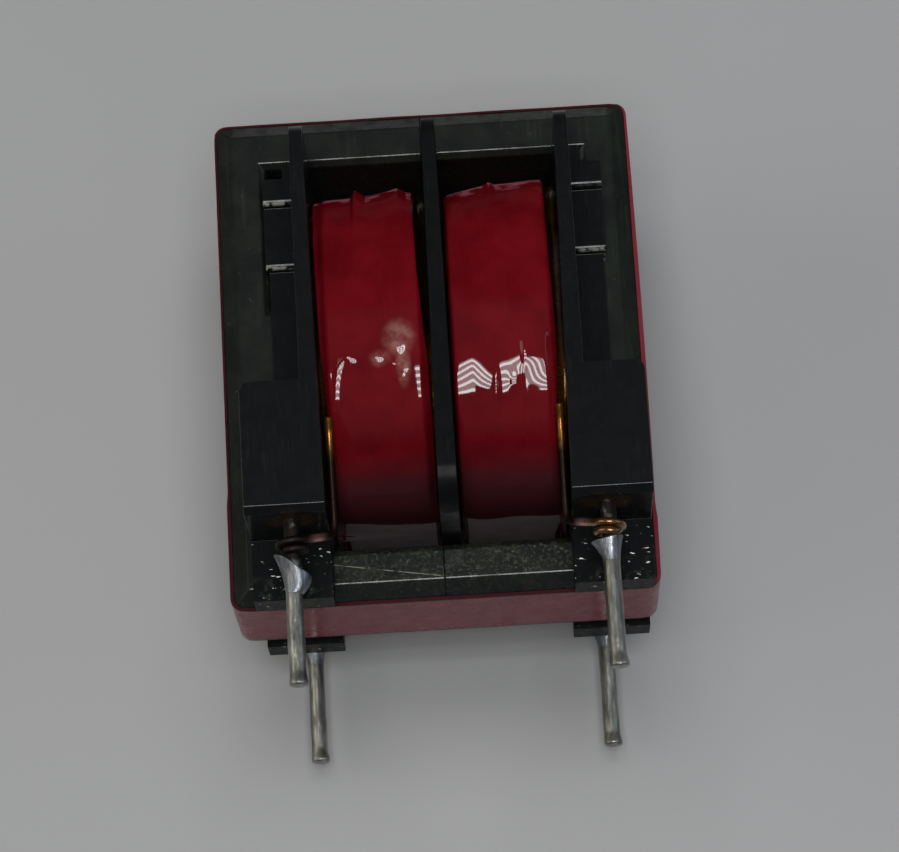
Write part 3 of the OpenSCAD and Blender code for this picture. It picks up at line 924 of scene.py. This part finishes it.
def wire_end(corner, row, side):
    """The wire along its middle line, which is smoothed three times first."""
    line = [Vector((side * p.x, p.y, row * p.z)) for p in lead_line()]
    for _ in range(3):
        inside = [(a + 2 * b + c) / 4 for a, b, c in zip(line, line[1:], line[2:])]
        line = [line[0]] + inside + [line[-1]]
    rings = []
    lean = Vector((1, 0, 0))
    for i, p in enumerate(line):
        way = (line[min(i + 1, len(line) - 1)] - line[max(i - 1, 0)]).normalized()
        lean = (lean - way * lean.dot(way)).normalized()
        other = way.cross(lean)
        r = WIRE_D / 2 + 0.004 * ripple(p.x, p.y, p.z, 1.5, 50)
        rings.append([tuple(p + r * (ca * lean + sa * other)) for ca, sa in circle(14)])
    piece("wire_end_" + corner, *tube(rings), COPPER, "copper_wire", "lead_" + corner, 60)


# Solder rims: height at the pin's line, rise towards +x, radius, extra reach to the left and
# to the right, where the solder hangs over as a drop
RIMS = {
    "front_left": (0.82, -0.56, 0.66, 0.24, 0.19), "front_right": (1.20, 0.12, 0.62, 0.30, 0.0),
    "rear_left": (1.15, 0.10, 0.70, 0.0, 0.0), "rear_right": (1.12, -0.12, 0.68, 0.1, 0.0),
}


def solder_joint(corner, row, side):
    """Solder that creeps from the wound wire down the pin as a cup; on the left front it hangs
    over on one side."""
    height, rise, radius, left, right = RIMS[corner]
    seed = 60 + 5 * row + 3 * side
    inside, foot, lip = 0.37, 0.41, 0.03   # radii inside the pin and at the foot, drop of the rim
    levels = [(0.0, 0.10), (0.25, 0.08), (0.6, 0.03), (0.88, 0.015), (0.97, 0.0), (1.0, -lip)]
    steps = 40
    rings = [[] for _ in range(len(levels) + steps)]
    for cx, cz in circle(56):
        rim_y = height + rise * cx + 0.03 * ripple(cx, 0, cz, 0.9, seed)
        reach = left * max(0.0, -cx) ** 4 + right * max(0.0, cx) ** 2
        rim_r = radius + reach + 0.04 * ripple(cx, 3, cz, 1.0, seed)
        low = -0.6 if right else min(0.1, rim_y - 0.85)
        full = ease(-0.1, 0.7, cx) if right else 0.0
        spots = [(inside + (rim_r - inside) * share, rim_y + up) for share, up in levels]
        for i in range(1, steps + 1):
            t = i / steps
            y = rim_y - lip + (low - rim_y + lip) * t
            cup, drop = (1 - t) ** 1.7, (0.5 + 0.5 * math.cos(math.pi * t)) ** 0.42
            r = foot + (rim_r - foot) * ((1 - full) * cup + full * drop)
            r += 0.015 * ripple(cx, y * 1.5, cz, 1.1, seed + 2) * (1 - t)
            spots.append((r if i < steps else inside, y))
        for ring, (r, y) in zip(rings, spots):
            ring.append(round_pin(row, side, r, y, cx, cz))
    piece("solder_joint_" + corner, *tube(rings), SOLDER, "solder", "solder_" + corner, 60)


for corner, (row, side) in CORNERS.items():
    pin(corner, row, side)
    wire_end(corner, row, side)
    solder_joint(corner, row, side)


# Stage: floor, light and camera

def stage_floor():
    pale, paler = (0.315, 0.316, 0.322), (0.335, 0.336, 0.342)
    material, tree, shader, where = finish("pale_floor", Roughness=0.75)
    tone = mottle(tree, where, 0.02, 3.0, (0.3, 0.7))
    feed(tree, shader, Base_Color=tint(tree, tone, pale, paler))
    mesh = bpy.data.meshes.new("floor")
    side, level = 3.0, cad_box[0].z - 0.00002
    corners = [(-side, -side), (side, -side), (side, side), (-side, side)]
    mesh.from_pydata([(x, y, level) for x, y in corners], [], [(0, 1, 2, 3)])
    mesh.materials.append(material)
    floor = bpy.data.objects.new("floor", mesh)
    bpy.context.scene.collection.objects.link(floor)


def lamp(name, place, aim, width, depth, radiance, colour=(1, 1, 1)):
    """A rectangular soft lamp, its strength given as the brightness of its face."""
    data = bpy.data.lights.new(name, "AREA")
    data.shape = "RECTANGLE"
    data.size, data.size_y = width * MM, depth * MM
    data.energy = radiance * math.pi * data.size * data.size_y
    data.color = colour
    shown = bpy.data.objects.new(name, data)
    bpy.context.scene.collection.objects.link(shown)
    shown.location = Vector(place) * MM
    shown.rotation_euler = (Vector(aim) - Vector(place)).to_track_quat("-Z", "Y").to_euler()
    return shown


def studio():
    """Overhead bars under a softer panel, a warm and a cool lamp at the sides, and a lamp behind
    that lights the part without showing in its gloss."""
    part_y, bar_rise, bar_z = 10, 300, 309
    middle = (0, part_y, 0)
    world = bpy.data.worlds.new("studio")
    bpy.context.scene.world = world
    world.use_nodes = True
    sky = world.node_tree.nodes["Background"].inputs
    sky["Color"].default_value = (0.92, 0.96, 1.0, 1)
    sky["Strength"].default_value = 0.09
    for index, degrees in enumerate((-26, -20.5, -15, -9.5, -4)):
        y = part_y + bar_rise * math.tan(math.radians(degrees))
        lamp(f"overhead_bar_{index + 1}", (0, y, bar_z), (0, y, 0), 130, 12, 12)
    lamp("overhead_panel", (0, -71, 314), (0, -71, 0), 130, 148, 4.2)
    lamp("side_lamp_left", (-360, 20, 240), middle, 250, 300, 1.5, (1.0, 0.95, 0.80))
    lamp("side_lamp_right", (360, 20, 240), middle, 250, 300, 0.8, (0.78, 0.88, 1.0))
    lamp("back_lamp", (5, 125, 380), middle, 230, 160, 5.2).visible_glossy = False


def place_camera():
    """The camera that was fitted to the part's corners."""
    sensor, focal_px, picture_px = 36.0, 3700, 899
    data = bpy.data.cameras.new("camera")
    data.sensor_fit = "HORIZONTAL"
    data.sensor_width = sensor
    data.lens = sensor * focal_px / picture_px
    data.clip_start, data.clip_end = 0.01, 20.0
    camera = bpy.data.objects.new("camera", data)
    bpy.context.scene.collection.objects.link(camera)
    camera.matrix_world = Matrix((
        (0.99820, 0.05955, 0.00798, 1.64 * MM),
        (-0.05462, 0.95473, -0.29242, -44.32 * MM),
        (-0.02503, 0.29146, 0.95626, 177.33 * MM),
        (0, 0, 0, 1),
    ))
    bpy.context.scene.camera = camera


stage_floor()
studio()
place_camera()
bpy.context.scene.view_settings.view_transform = "Standard"

bpy.context.view_layer.update()
